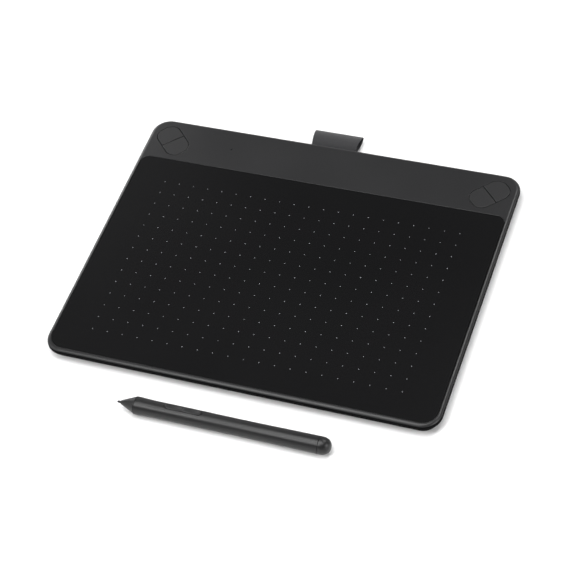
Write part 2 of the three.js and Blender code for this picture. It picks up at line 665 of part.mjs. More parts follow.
// Two-way rocker: a dished cap with a post over each of the two small switches.
function penSideSwitch() {
  const { start, pivot, end, halfWidth, bottom, top } = PEN_SWITCH;
  const cap = plate(roundedRectangle(start, end, -halfWidth, halfWidth, halfWidth - 0.1), bottom, top, 5);
  const dishes = [-1, 1].map((side) => {
    const cutter = new THREE.CylinderGeometry(DISH.radius, DISH.radius, halfWidth * 4, 48);
    return cutter.translate(pivot + side * DISH.along, 0, top - DISH.depth + DISH.radius);
  });
  const { half, depth } = SWITCH_GROOVE;
  const groove = box(pivot - half, pivot + half, -halfWidth * 2, halfWidth * 2, top - depth, top + 1);
  const posts = [-1, 1].map((side) =>
    post(pivot + side * SWITCH_POST.along, 0, SWITCH_POST.radius, SWITCH_POST.bottom, bottom + 0.2, 12));
  return cut(join(cap, ...posts), groove, ...dishes);
}

function penInnerFrame() {
  const { start, end, outer, inner } = PEN_FRAME;
  const tray = new THREE.Shape();
  tray.absarc(0, 0, outer, Math.PI, Math.PI * 2);
  tray.lineTo(inner, 0);
  tray.absarc(0, 0, inner, 0, -Math.PI, true);
  tray.closePath();
  const { half, bottom, top, places } = PEN_BRACE;
  const braces = places.map(([from, to]) => box(from, to, -half, half, bottom, top));
  return solid(alongX(tray, start, end, 10)).add(join(...braces));
}

function penTactSwitch(x) {
  const { half, bottom, top, plunger, plungerTop } = TACT_SWITCH;
  const body = box(x - half, x + half, -half, half, bottom, top);
  return join(body, post(x, 0, plunger, top - 0.1, plungerTop, 12));
}

function addPen(group) {
  addPiece(group, 'pen_nib', penNib(), nibPlastic);
  addPiece(group, 'pen_cone', penCone(), penPlastic);
  addPiece(group, 'pen_barrel', penBarrel(), penPlastic);
  addPiece(group, 'pen_end_cap', penEndCap(), penPlastic);
  addPiece(group, 'pen_side_switch', penSideSwitch(), penPlastic);
  addPiece(group, 'pen_ferrite_core', ring(14, 25.5, 1.1, 2.1), ferrite);
  addPiece(group, 'pen_coil', ring(16, 24, 2.2, 3.0), copper);
  addPiece(group, 'pen_pressure_sensor', turned([[27, 0], [27, 3.4], [33.5, 3.4], [33.5, 0]]), switchPlastic);
  addPiece(group, 'pen_inner_frame', penInnerFrame(), darkPlastic);
  const { start, end, half, bottom, top } = PEN_BOARD;
  addPiece(group, 'pen_board', box(start, end, -half, half, bottom, top), boardLaminate);
  const { pivot } = PEN_SWITCH;
  addPiece(group, 'pen_front_tact_switch', penTactSwitch(pivot - SWITCH_POST.along), switchPlastic);
  addPiece(group, 'pen_back_tact_switch', penTactSwitch(pivot + SWITCH_POST.along), switchPlastic);
}

// ---------------------------------------------------------------- assembly

function addTablet(group) {
  addPiece(group, 'top_case', topCase(), blackPlastic);
  const sheet = plate(sheetOutline(0), SHEET.top - SHEET.thickness, SHEET.top, 6);
  addPiece(group, 'drawing_sheet', sheet, sheetFilm);
  addPiece(group, 'bottom_case', bottomCase(), darkPlastic);
  addPiece(group, 'bay_cover', bayCover(), darkPlastic);
  for (const place of FEET) {
    addPiece(group, place.name, plate(footShape(place, 0), 0, FOOT.top, 5), rubber);
    addPiece(group, place.name.replace('foot', 'case_screw'), caseScrew(place.x, place.y), steel);
  }
  addPiece(group, 'front_middle_case_screw', caseScrew(FRONT_MIDDLE_SCREW.x, FRONT_MIDDLE_SCREW.y), steel);
  addKeys(group);
  addElectronics(group);
  addTouchSwitch(group);
  addBayContents(group);
  addLoop(group);
}

const tabletGroup = new THREE.Group();
tabletGroup.position.y = SET_CENTRE_SHIFT;
addTablet(tabletGroup);

const penGroup = new THREE.Group();
penGroup.rotation.x = -PEN.switchTilt;
penGroup.position.set(PEN.tipX, PEN.tipY + SET_CENTRE_SHIFT, PEN.height);
addPen(penGroup);

const drawingSet = new THREE.Group();
drawingSet.add(tabletGroup, penGroup);

export default drawingSet;
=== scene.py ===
"""A pen drawing tablet and its pen: the outer pieces and their finishes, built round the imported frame.

Lengths are metres in the frame's axes: +X right along the long edge, +Y towards the back edge, +Z up.
Constants that end in _MM, and every outline and profile, are millimetres.
"""

import json
import math

import bmesh
import bpy
from mathutils import Matrix, Vector


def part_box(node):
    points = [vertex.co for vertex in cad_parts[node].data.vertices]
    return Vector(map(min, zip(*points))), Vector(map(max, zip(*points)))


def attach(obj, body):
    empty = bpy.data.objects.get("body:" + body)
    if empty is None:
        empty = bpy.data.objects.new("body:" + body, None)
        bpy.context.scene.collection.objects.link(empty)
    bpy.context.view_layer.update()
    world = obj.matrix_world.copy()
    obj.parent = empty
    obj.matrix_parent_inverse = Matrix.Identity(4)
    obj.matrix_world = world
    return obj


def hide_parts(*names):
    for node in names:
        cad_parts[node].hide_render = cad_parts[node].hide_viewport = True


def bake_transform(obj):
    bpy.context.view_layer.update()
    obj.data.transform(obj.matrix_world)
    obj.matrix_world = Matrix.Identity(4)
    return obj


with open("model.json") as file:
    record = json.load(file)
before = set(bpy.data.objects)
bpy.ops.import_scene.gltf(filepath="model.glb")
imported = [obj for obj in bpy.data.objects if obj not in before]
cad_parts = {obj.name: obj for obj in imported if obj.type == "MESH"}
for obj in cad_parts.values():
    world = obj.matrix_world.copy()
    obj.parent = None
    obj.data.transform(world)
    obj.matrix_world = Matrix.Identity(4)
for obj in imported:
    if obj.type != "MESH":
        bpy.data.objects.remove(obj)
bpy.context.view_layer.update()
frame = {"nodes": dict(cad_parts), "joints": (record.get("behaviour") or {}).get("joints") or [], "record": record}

bl_info = {
    "name": "Pen drawing tablet",
    "version": (1, 0, 0),
    "blender": (4, 5, 0),
    "location": "3D View > Sidebar > Tablet",
    "description": "Builds the outer pieces, finishes and studio of a pen drawing tablet and its pen",
    "category": "Object",
}

MM = 0.001
QUARTER = math.pi / 2


# ------------------------------------------------------------------------------ measures from the frame


def box_mm(node):
    """The lowest and highest corner of a frame node, in millimetres."""
    low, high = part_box(node)
    return low / MM, high / MM


def joint_named(name):
    """The frame's joint of that name."""
    return next(joint for joint in frame["joints"] if joint["name"] == name)


CASE_LOW, CASE_HIGH = box_mm("top_case")
SHEET_LOW, SHEET_HIGH = box_mm("drawing_sheet")
LIGHT_LOW, LIGHT_HIGH = box_mm("status_light_pipe")
TAPE_LOW, TAPE_HIGH = box_mm("pen_loop")
CASE_TOP = CASE_HIGH.z
CASE_CORNER_MM = 13.0
PARTING_MM = 6.6
CEILING_MM = 8.3
WALL_MM = 1.8

SHEET_GAP_MM = 0.15
SHEET_FRONT_CORNER_MM = 10.0
SHEET_BACK_CORNER_MM = 6.0
GLUE_MM = 0.05
RECESS_FLOOR_MM = SHEET_LOW.z - GLUE_MM

PAD_LENGTH_MM = 29.0
PAD_WIDTH_MM = 18.0
PAD_CORNER_MM = 7.6
PAD_GAP_MM = 0.3
KEY_TOP_MM = box_mm("left_outer_key")[1].z

PEN_PIVOT_MM = Vector((46.8, 0.0, 4.2))


def pad_centre(side):
    """The middle of a key pad; side is -1 at the left and 1 at the right."""
    name = "left" if side < 0 else "right"
    outer_low, outer_high = box_mm(f"{name}_outer_key")
    inner_low, inner_high = box_mm(f"{name}_inner_key")
    low = [min(pair) for pair in zip(outer_low, inner_low)]
    high = [max(pair) for pair in zip(outer_high, inner_high)]
    return Vector(((low[0] + high[0]) / 2, (low[1] + high[1]) / 2, 0))


def pad_place(side):
    """Turns a shape drawn along +X, in millimetres, onto a key pad."""
    return Matrix.Translation(pad_centre(side)) @ Matrix.Rotation(side * math.pi / 4, 4, "Z")


def pen_place():
    """Turns a shape drawn along +X from the tip onto the pen, with the side switch on its upper side."""
    along = Vector(joint_named("nib_press")["axis"]).normalized()
    across = Vector(joint_named("side_switch_rock")["axis"]).normalized()
    up = along.cross(across)
    pivot = Vector(joint_named("side_switch_rock")["pos_m"]) / MM
    tip = pivot - along * PEN_PIVOT_MM.x - up * PEN_PIVOT_MM.z
    place = Matrix((along, across, up)).transposed().to_4x4()
    place.translation = tip
    return place


# ------------------------------------------------------------------------------ sizes and colours


def linear(hex_colour):
    """An sRGB hex colour as linear red, green, blue and alpha."""
    parts = [int(hex_colour[i:i + 2], 16) / 255 for i in (0, 2, 4)]
    return [c / 12.92 if c <= 0.04045 else ((c + 0.055) / 1.055) ** 2.4 for c in parts] + [1.0]


def length(name, description, millimetres):
    """A size that the panel shows, given in millimetres and kept in metres."""
    return bpy.props.FloatProperty(
        name=name, description=description, default=millimetres * MM, min=0, unit="LENGTH", precision=5)


def colour(name, description, hex_colour):
    """A colour that the panel shows, given as an sRGB hex colour."""
    return bpy.props.FloatVectorProperty(
        name=name, description=description, default=linear(hex_colour), size=4, subtype="COLOR", min=0, max=1)


class TabletSizes(bpy.types.PropertyGroup):
    """The fine sizes that the frame leaves open."""

    edge_inset: length("Edge inset", "How far the oval rounding of the case's upper edge reaches in", 2.6)
    edge_drop: length("Edge drop", "How far the oval rounding of the case's upper edge reaches down", 2.2)
    lip_rounding: length("Lip rounding", "Radius round the recess and the key openings", 0.2)
    key_rounding: length("Key rounding", "Radius along the upper edge of a key", 0.45)
    film_rounding: length("Film edge", "Radius along the cut edge of the drawing film", 0.12)
    mark_size: length("Mark size", "Diameter of a printed mark", 0.57)
    mark_spacing_x: length("Mark spacing across", "Distance between marks along the long edge", 10.85)
    mark_spacing_y: length("Mark spacing deep", "Distance between marks along the short edge", 10.4)
    tape_thickness: length("Tape thickness", "Thickness of one ply of the loop's tape", 0.8)
    moulding_break: length("Moulding break", "Width of the small break along a moulded edge", 0.25)


class TabletColours(bpy.types.PropertyGroup):
    """The colours of the finishes that show."""

    case: colour("Case", "Upper moulding", "1f1f20")
    # Darker than the case: painted shade that keeps the sides and underside black.
    base: colour("Base", "Lower moulding and bay cover", "080809")
    film: colour("Film", "Drawing film", "0b0b0c")
    marks: colour("Marks", "Printed marks on the film", "8a8c90")
    keys: colour("Keys", "Press keys and switch knobs", "1e1e1f")
    pen: colour("Pen", "Pen mouldings", "111112")
    nib: colour("Nib", "Pen nib and spare nibs", "141415")
    tape: colour("Tape", "Woven pen loop", "2b2b2d")
    rubber: colour("Rubber", "Feet and nib holder", "151516")
    floor: colour("Floor", "Studio floor", "f4f4f4")


def sizes():
    """The sizes that the panel shows."""
    return bpy.context.scene.tablet_sizes


def colours():
    """The colours that the panel shows."""
    return bpy.context.scene.tablet_colours


# ------------------------------------------------------------------------------ material tools


def add_node(tree, kind, settings=None, links=None):
    """Adds a node; settings are its own values or its inputs', and links join outputs to its inputs."""
    made = tree.nodes.new("ShaderNode" + kind)
    for key, value in (settings or {}).items():
        if isinstance(key, int) or key in made.inputs:
            made.inputs[key].default_value = value
        else:
            setattr(made, key, value)
    for key, source in (links or {}).items():
        tree.links.new(source, made.inputs[key])
    return made


def shaded(name, settings):
    """A new material with a principled shader, and its tree."""
    material = bpy.data.materials.new(name)
    material.use_nodes = True
    tree = material.node_tree
    tree.nodes.clear()
    shader = add_node(tree, "BsdfPrincipled", settings)
    add_node(tree, "OutputMaterial", links={"Surface": shader.outputs["BSDF"]})
    material.diffuse_color = settings["Base Color"]
    return material, tree, shader


def place_in_mm(tree):
    """The piece's own coordinates, in millimetres."""
    place = add_node(tree, "TexCoord")
    scale = {"Scale": (1 / MM,) * 3}
    return add_node(tree, "Mapping", scale, {"Vector": place.outputs["Object"]}).outputs["Vector"]


def grain(tree, place, size_mm, detail=2.0):
    """A noise whose grains are about that wide."""
    settings = {"Scale": 0.5 / size_mm, "Detail": detail, "Roughness": 0.55}
    return add_node(tree, "TexNoise", settings, {"Vector": place}).outputs["Fac"]


def bands(tree, place, axis, spacing_mm):
    """Soft bands across an axis, that far apart; a wave's scale times the spacing of its bands is pi / 10."""
    settings = {"bands_direction": axis, "Scale": math.pi / 10 / spacing_mm}
    return add_node(tree, "TexWave", settings, {"Vector": place}).outputs["Fac"]


def between(tree, source, low, high, from_low=0.3, from_high=0.7):
    """Turns a pattern into a value from low to high."""
    settings = {"From Min": from_low, "From Max": from_high, "To Min": low, "To Max": high}
    return add_node(tree, "MapRange", settings, {"Value": source}).outputs["Result"]


def tint(tree, source, first, second):
    """Turns a pattern into a colour between two others."""
    mix = add_node(tree, "Mix", {"data_type": "RGBA", 6: first, 7: second}, {0: source})
    return mix.outputs[2]


def raise_surface(tree, shader, source, height_mm):
    """Gives a shader a pattern's relief."""
    bump = add_node(tree, "Bump", {"Distance": height_mm * MM, "Strength": 1.0}, {"Height": source})
    tree.links.new(bump.outputs["Normal"], shader.inputs["Normal"])


def shade_of(rgba, share):
    """The same colour, lighter or darker."""
    return [min(c * share, 1) for c in rgba[:3]] + [1.0]


FLOW_PATCH_MM = 38.0


def mottled_plastic(name, rgba, roughness, grain_mm, relief_mm, specular=0.5):
    """A moulded plastic: the mould's fine texture, and slow changes of sheen where it flowed and cooled."""
    finish = {"Base Color": rgba, "Roughness": roughness, "IOR": 1.5, "Specular IOR Level": specular}
    material, tree, shader = shaded(name, finish)
    place = place_in_mm(tree)
    fine = grain(tree, place, grain_mm)
    slow = grain(tree, place, FLOW_PATCH_MM, 1.0)
    tree.links.new(tint(tree, fine, shade_of(rgba, 0.9), shade_of(rgba, 1.1)), shader.inputs["Base Color"])
    tree.links.new(between(tree, slow, roughness - 0.03, roughness + 0.03), shader.inputs["Roughness"])
    raise_surface(tree, shader, fine, relief_mm)
    return material


# ------------------------------------------------------------------------------ materials


def spark_eroded_abs():
    """ABS from a spark-eroded mould: an even, dry grey-black without a mirror image of the lamps."""
    # The real texture is about 0.2 mm across; it is drawn at 0.5 mm, the finest that shows from afar.
    return mottled_plastic(
        "abs_spark_eroded", colours().case, roughness=0.34, grain_mm=0.5, relief_mm=0.008, specular=0.36)


def textured_abs_painted_shade():
    """ABS from a coarser mould texture, darker and almost without sheen: painted shade that keeps the sides and
    underside black.
    """
    return mottled_plastic(
        "abs_textured_painted_shade", colours().base, roughness=0.6, grain_mm=0.8, relief_mm=0.03, specular=0.03)


def satin_abs():
    """ABS from a blasted steel mould: a finer, drier texture, a shade lighter to the eye than the case."""
    return mottled_plastic(
        "abs_satin_moulded", colours().keys, roughness=0.46, grain_mm=0.35, relief_mm=0.005, specular=0.3)


def embossed_film():
    """PET film embossed like drawing paper: nearly black, with a soft bloom where light grazes it."""
    rgba = colours().film
    finish = {"Base Color": rgba, "Roughness": 0.36, "IOR": 1.57, "Specular IOR Level": 0.075}
    material, tree, shader = shaded("pet_film_embossed", finish)
    place = place_in_mm(tree)
    # The emboss is about 0.15 mm across; it is drawn at 0.4 mm, so that it still shows as a tooth.
    tooth = grain(tree, place, 0.4, 3.0)
    # Strokes of the nib polish the tooth in patches.
    wear = between(tree, grain(tree, place, 55.0, 2.0), 0.34, 0.38)
    tree.links.new(tint(tree, tooth, shade_of(rgba, 0.85), shade_of(rgba, 1.15)), shader.inputs["Base Color"])
    tree.links.new(wear, shader.inputs["Roughness"])
    raise_surface(tree, shader, tooth, 0.01)
    return material


def screen_ink():
    """Screen-printed grey ink: flat, a little uneven in strength from mark to mark."""
    rgba = colours().marks
    material, tree, shader = shaded("ink_screen_printed", {"Base Color": rgba, "Roughness": 0.7, "IOR": 1.5})
    patchy = grain(tree, place_in_mm(tree), 9.0, 1.0)
    tree.links.new(tint(tree, patchy, shade_of(rgba, 0.7), shade_of(rgba, 1.25)), shader.inputs["Base Color"])
    return material


def soft_satin_abs():
    """ABS with a fine satin mould finish: the pen shows one broad, soft highlight along its length."""
    return mottled_plastic(
        "abs_fine_satin", colours().pen, roughness=0.38, grain_mm=0.3, relief_mm=0.003, specular=0.42)


def moulded_acetal():
    """Acetal, moulded smooth: the nib has a waxy sheen."""
    return mottled_plastic("acetal_moulded", colours().nib, roughness=0.35, grain_mm=0.2, relief_mm=0.002)


THREAD_MM = 0.55


def woven_polyester():
    """Polyester tape in plain weave: threads cross over and under; painted shade in their hollows, painted
    highlight on their crowns.
    """
    rgba = colours().tape
    finish = {"Base Color": rgba, "Roughness": 0.85, "IOR": 1.5, "Sheen Weight": 0.25, "Sheen Roughness": 0.4}
    material, tree, shader = shaded("polyester_plain_weave", finish)
    tape = add_node(tree, "UVMap", {"uv_map": "tape"}).outputs["UV"]
    place = add_node(tree, "Mapping", {"Scale": (1 / MM,) * 3}, {"Vector": tape}).outputs["Vector"]
    ribs = [bands(tree, place, axis, THREAD_MM) for axis in ("X", "Y")]
    weave = add_node(tree, "Math", {"operation": "MULTIPLY"}, dict(enumerate(ribs))).outputs["Value"]
    fuzz = grain(tree, place, 0.25, 3.0)
    fuzz_share = {"operation": "MULTIPLY_ADD", 1: 0.35}
    mixed = add_node(tree, "Math", fuzz_share, {0: fuzz, 2: weave}).outputs["Value"]
    # The colour follows the weave's relief and fuzz: painted shade in the hollows, painted highlight on the
    # crowns, and random tone from the fuzz.
    weave_shade_and_fuzz = between(tree, mixed, 0.0, 1.0, 0.1, 0.9)
    tree.links.new(tint(tree, weave_shade_and_fuzz, shade_of(rgba, 0.55), shade_of(rgba, 1.35)), shader.inputs["Base Color"])
    raise_surface(tree, shader, mixed, 0.12)
    return material


def moulded_rubber():
    """Thermoplastic rubber: the feet are dead matt with a faint dusty bloom."""
    return mottled_plastic(
        "rubber_moulded", colours().rubber, roughness=0.85, grain_mm=0.6, relief_mm=0.02, specular=0.25)


def solder_masked_laminate():
    """Glass laminate under green solder mask: the woven glass shows faintly through a semi-gloss coat."""
    rgba = linear("1d5a37")
    finish = {"Base Color": rgba, "Roughness": 0.35, "IOR": 1.5, "Coat Weight": 0.4, "Coat Roughness": 0.15}
    material, tree, shader = shaded("glass_laminate_solder_masked", finish)
    place = place_in_mm(tree)
    # Glass cloth threads lie 0.5 mm apart.
    cloth = add_node(tree, "TexChecker", {"Scale": 1 / 0.5}, {"Vector": place}).outputs["Fac"]
    tree.links.new(tint(tree, cloth, rgba, shade_of(rgba, 1.12)), shader.inputs["Base Color"])
    raise_surface(tree, shader, grain(tree, place, 0.5), 0.01)
    return material


def polyimide_film():
    """Polyimide film: amber, thin and glossy, streaked by the tracks under it."""
    rgba = linear("b47a2f")
    finish = {"Base Color": rgba, "Roughness": 0.25, "IOR": 1.7, "Coat Weight": 0.3}
    material, tree, shader = shaded("polyimide_film", finish)
    # Tracks lie 0.5 mm apart.
    tracks = bands(tree, place_in_mm(tree), "Y", 0.5)
    tree.links.new(tint(tree, tracks, shade_of(rgba, 0.6), rgba), shader.inputs["Base Color"])
    return material


def metal(name, hex_colour, roughness, streak_mm, stretch):
    """A metal with fine streaks along one way, left by rolling, drawing or plating."""
    rgba = linear(hex_colour)
    material, tree, shader = shaded(name, {"Base Color": rgba, "Roughness": roughness, "Metallic": 1.0})
    place = add_node(tree, "Mapping", {"Scale": stretch}, {"Vector": place_in_mm(tree)}).outputs["Vector"]
    streaks = grain(tree, place, streak_mm)
    tree.links.new(between(tree, streaks, roughness - 0.06, roughness + 0.08), shader.inputs["Roughness"])
    raise_surface(tree, shader, streaks, 0.004)
    return material


def rolled_steel():
    """Zinc-passivated steel, rolled: grey with faint streaks along the sheet."""
    return metal("steel_rolled_zinc", "a2a5a8", roughness=0.38, streak_mm=0.6, stretch=(0.05, 1, 1))


def nickel_plate():
    """Nickel-plated steel, drawn: bright, slightly warm, with soft reflections."""
    return metal("nickel_plated_steel", "c9c5bd", roughness=0.22, streak_mm=0.8, stretch=(1, 0.2, 1))


def glass_filled_pbt():
    """Glass-filled PBT, moulded: black, with the dull, slightly fibrous skin of a connector."""
    return mottled_plastic("pbt_glass_filled", linear("222223"), roughness=0.6, grain_mm=0.4, relief_mm=0.01)


def smoked_acrylic():
    """Acrylic, moulded smoke grey: the status light's window is a dark pinhole while it is off."""
    finish = {"Base Color": linear("303236"), "Roughness": 0.12, "IOR": 1.49, "Transmission Weight": 0.6}
    material, tree, shader = shaded("acrylic_smoked_moulded", finish)
    haze = grain(tree, place_in_mm(tree), 0.3)
    tree.links.new(between(tree, haze, 0.1, 0.2), shader.inputs["Roughness"])
    return material


def sintered_ferrite():
    """Ferrite, pressed and sintered: charcoal grey with the fine grain of a ceramic."""
    return mottled_plastic("ferrite_sintered", linear("39393b"), roughness=0.7, grain_mm=0.25, relief_mm=0.01)


def enamelled_copper():
    """Enamelled copper wire, wound: amber-red metal ribbed by its turns, with painted shade darkening the grooves
    between them.
    """
    rgba = linear("b5683a")
    finish = {"Base Color": rgba, "Roughness": 0.3, "Metallic": 1.0, "Coat Weight": 0.6}
    material, tree, shader = shaded("copper_wire_enamelled", finish)
    # The wire is 0.12 mm thick; its turns are drawn 0.24 mm apart.
    turns = bands(tree, place_in_mm(tree), "X", 0.24)
    # The colour darkens between the turns: painted shade in the grooves.
    tree.links.new(tint(tree, turns, shade_of(rgba, 0.45), rgba), shader.inputs["Base Color"])
    raise_surface(tree, shader, turns, 0.03)
    return material


def rolled_white_paint():
    """Emulsion paint, rolled on board: a plain pale studio floor."""
    rgba = colours().floor
    material, tree, shader = shaded("emulsion_rolled", {"Base Color": rgba, "Roughness": 0.9, "IOR": 1.45})
    stipple = grain(tree, place_in_mm(tree), 2.0)
    tree.links.new(tint(tree, stipple, shade_of(rgba, 0.995), rgba), shader.inputs["Base Color"])
    return material


FINISHES = {
    "case_plastic": spark_eroded_abs,
    "base_plastic": textured_abs_painted_shade,
    "sheet_film": embossed_film,
    "key_plastic": satin_abs,
    "pen_plastic": soft_satin_abs,
    "nib_plastic": moulded_acetal,
    "loop_textile": woven_polyester,
    "foot_rubber": moulded_rubber,
    "board_laminate": solder_masked_laminate,
    "flex_film": polyimide_film,
    "sheet_steel": rolled_steel,
    "plated_steel": nickel_plate,
    "switch_plastic": glass_filled_pbt,
    "clear_plastic": smoked_acrylic,
    "ferrite": sintered_ferrite,
    "copper_wire": enamelled_copper,
}
made_finishes = {}


def finish_of(slot):
    """The finish of a material slot, made once."""
    if slot not in made_finishes:
        made_finishes[slot] = FINISHES[slot]()
    return made_finishes[slot]


# ------------------------------------------------------------------------------ mesh tools


def rounded_ring(bounds, inset, radii, z, steps=12):
    """Points round an inset rectangle, counter-clockwise; radii are its front and back corners'."""
    x0, x1, y0, y1 = bounds
    middle = Vector(((x0 + x1) / 2, (y0 + y1) / 2))
    front, back = radii
    corners = [(x1, y0, front, -1), (x1, y1, back, 0), (x0, y1, back, 1), (x0, y0, front, 2)]
    points = []
    for x, y, radius, quarter in corners:
        centre = Vector((x - math.copysign(radius, x - middle.x), y - math.copysign(radius, y - middle.y)))
        for step in range(steps + 1):
            angle = (quarter + step / steps) * QUARTER
            reach = radius - inset
            points.append(Vector((centre.x + reach * math.cos(angle), centre.y + reach * math.sin(angle), z)))
    return points


def round_ring(centre, radius, z, steps=24):
    """Points round a circle, counter-clockwise."""
    turn = 2 * math.pi / steps
    return [
        Vector((centre.x + radius * math.cos(i * turn), centre.y + radius * math.sin(i * turn), z))
        for i in range(steps)
    ]


def skin(shape, rings):
    """Joins each ring of points to the next with faces, and returns the first and the last ring."""
    rows = [[shape.verts.new(point) for point in ring] for ring in rings]
    for low, high in zip(rows, rows[1:]):
        count = len(low)
        for i in range(count):
            j = (i + 1) % count
            shape.faces.new((low[i], low[j], high[j], high[i]))
    return rows[0], rows[-1]


def fill(shape, *rows):
    """Closes a flat area between rings; the first is its outline and the others are holes."""
    edges = []
    for row in rows:
        for start, end in zip(row, row[1:] + row[:1]):
            edges.append(shape.edges.get((start, end)) or shape.edges.new((start, end)))
    bmesh.ops.triangle_fill(shape, edges=edges, use_beauty=True, use_dissolve=False)


def rounding(across, up, steps=6):
    """Steps round a quarter of an oval, as pairs of how far in and how far up."""
    turns = [QUARTER * step / steps for step in range(steps + 1)]
    return [(across * (1 - math.cos(turn)), up * math.sin(turn)) for turn in turns]


CREASE_DEGREES = 50
FINE_CREASE_DEGREES = 40


def finished_mesh(shape, name, place=None, crease=CREASE_DEGREES):
    """Turns a shape in millimetres into an object in metres with smooth shading."""
    bmesh.ops.recalc_face_normals(shape, faces=shape.faces)
    if place is not None:
        shape.transform(place)
    mesh = bpy.data.meshes.new(name)
    shape.to_mesh(mesh)
    shape.free()
    mesh.transform(Matrix.Scale(MM, 4))
    mesh.shade_smooth()
    mesh.set_sharp_from_angle(angle=math.radians(crease))
    made = bpy.data.objects.new(name, mesh)
    bpy.context.scene.collection.objects.link(made)
    return made


def box_shape(low, high):
    """A box between two corners, to cut with."""
    shape = bmesh.new()
    bmesh.ops.create_cube(shape, size=1)
    for vert in shape.verts:
        vert.co = Vector(low[i] if vert.co[i] < 0 else high[i] for i in range(3))
    return shape


def carve(piece, cutters, crease=CREASE_DEGREES):
    """Cuts closed pieces out of another, and removes them."""
    for cutter in cutters:
        step = piece.modifiers.new("cut", "BOOLEAN")
        step.operation = "DIFFERENCE"
        step.solver = "EXACT"
        step.object = cutter
    bpy.context.view_layer.update()
    whole = piece.evaluated_get(bpy.context.evaluated_depsgraph_get())
    mesh = bpy.data.meshes.new_from_object(whole)
    mesh.name = piece.name
    piece.modifiers.clear()
    piece.data = mesh
    mesh.shade_smooth()
    mesh.set_sharp_from_angle(angle=math.radians(crease))
    for cutter in cutters:
        bpy.data.objects.remove(cutter)


def smooth_curve(knots, steps):
    """Points on a smooth curve through the knots, as pairs."""
    points = []
    padded = [knots[0], *knots, knots[-1]]
    for before, start, end, after in zip(padded, padded[1:], padded[2:], padded[3:]):
        for step in range(steps):
            t = step / steps
            weights = (
                -0.5 * t + t * t - 0.5 * t ** 3,
                1 - 2.5 * t * t + 1.5 * t ** 3,
                0.5 * t + 2 * t * t - 1.5 * t ** 3,
                -0.5 * t * t + 0.5 * t ** 3,
            )
            points.append(tuple(
                sum(weight * knot[i] for weight, knot in zip(weights, (before, start, end, after)))
                for i in (0, 1)
            ))
    return points + [tuple(knots[-1])]


def turned_shape(profile, sides=72):
    """A profile of (distance along X, radius) pairs turned about the X axis; ends on the axis are closed."""
    shape = bmesh.new()
    rows = []
    for along, radius in profile:
        if radius <= 0:
            rows.append([shape.verts.new((along, 0, 0))])
            continue
        turn = 2 * math.pi / sides
        rows.append([
            shape.verts.new((along, radius * math.cos(i * turn), radius * math.sin(i * turn)))
            for i in range(sides)
        ])
    for low, high in zip(rows, rows[1:] + rows[:1]):
        if len(low) == len(high) == 1:
            continue
        for i in range(sides):
            j = (i + 1) % sides
            corners = [low[i % len(low)], low[j % len(low)], high[j % len(high)], high[i % len(high)]]
            shape.faces.new(list(dict.fromkeys(corners)))
    return shape


def dress(piece, slot, body, *nodes):
    """Gives a piece its finish, the body that it rides on and the frame nodes that it stands for."""
    piece.data.materials.clear()
    piece.data.materials.append(finish_of(slot))
    if body:
        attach(piece, body)
    if nodes:
        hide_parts(*nodes)


SAME_POINT_MM = 0.0005
FLAT_DEGREES = 1
SHARP_DEGREES = 35


def refined_copy(node, body, slot, width):
    """A frame node's shape with its facets joined and its edges broken, standing for the node."""
    shape = bmesh.new()
    shape.from_mesh(frame["nodes"][node].data)
    bmesh.ops.scale(shape, vec=(1 / MM,) * 3, verts=shape.verts)
    bmesh.ops.remove_doubles(shape, verts=shape.verts, dist=SAME_POINT_MM)
    flat = math.radians(FLAT_DEGREES)
    bmesh.ops.dissolve_limit(shape, angle_limit=flat, verts=shape.verts, edges=shape.edges)
    limit = math.radians(SHARP_DEGREES)
    sharp = [edge for edge in shape.edges if edge.is_manifold and edge.calc_face_angle(0) > limit]
    bmesh.ops.bevel(
        shape, geom=sharp, offset=width, segments=2, profile=0.5, affect="EDGES", clamp_overlap=True)
    dress(finished_mesh(shape, node + "_moulding", crease=FINE_CREASE_DEGREES), slot, body, node)


# ------------------------------------------------------------------------------ case


CASE_BOUNDS = (CASE_LOW.x, CASE_HIGH.x, CASE_LOW.y, CASE_HIGH.y)
SHEET_BOUNDS = (SHEET_LOW.x, SHEET_HIGH.x, SHEET_LOW.y, SHEET_HIGH.y)
FLAT_MARGIN_MM = 0.25


def case_ring(inset, z):
    """Points round the case's outline."""
    return rounded_ring(CASE_BOUNDS, inset, (CASE_CORNER_MM, CASE_CORNER_MM), z)


def film_ring(inset, z):
    """Points round the drawing film's outline."""
    return rounded_ring(SHEET_BOUNDS, inset, (SHEET_FRONT_CORNER_MM, SHEET_BACK_CORNER_MM), z)


def pad_ring(side, grow, z):
    """Points round a key pad's opening, grown by that much."""
    half_length = PAD_LENGTH_MM / 2
    half_width = PAD_WIDTH_MM / 2
    bounds = (-half_length, half_length, -half_width, half_width)
    place = pad_place(side)
    return [place @ point for point in rounded_ring(bounds, -grow, (PAD_CORNER_MM, PAD_CORNER_MM), z, 10)]


def lipped_hole(shape, ring_at, lip, bottom):
    """Skins a hole in the top face with a rounded lip, down to a height; returns its top and bottom rings."""
    levels = [(lip + FLAT_MARGIN_MM, CASE_TOP)]
    levels += [(inset, CASE_TOP - lip + rise) for inset, rise in reversed(rounding(lip, lip, 3))]
    levels.append((0, bottom))
    return skin(shape, [ring_at(grow, z) for grow, z in levels])


def screw_places():
    """The middle of each case screw."""
    names = ("front_left", "front_right", "back_left", "back_right", "front_middle")
    boxes = [box_mm(f"{name}_case_screw") for name in names]
    return [(low + high) / 2 for low, high in boxes]


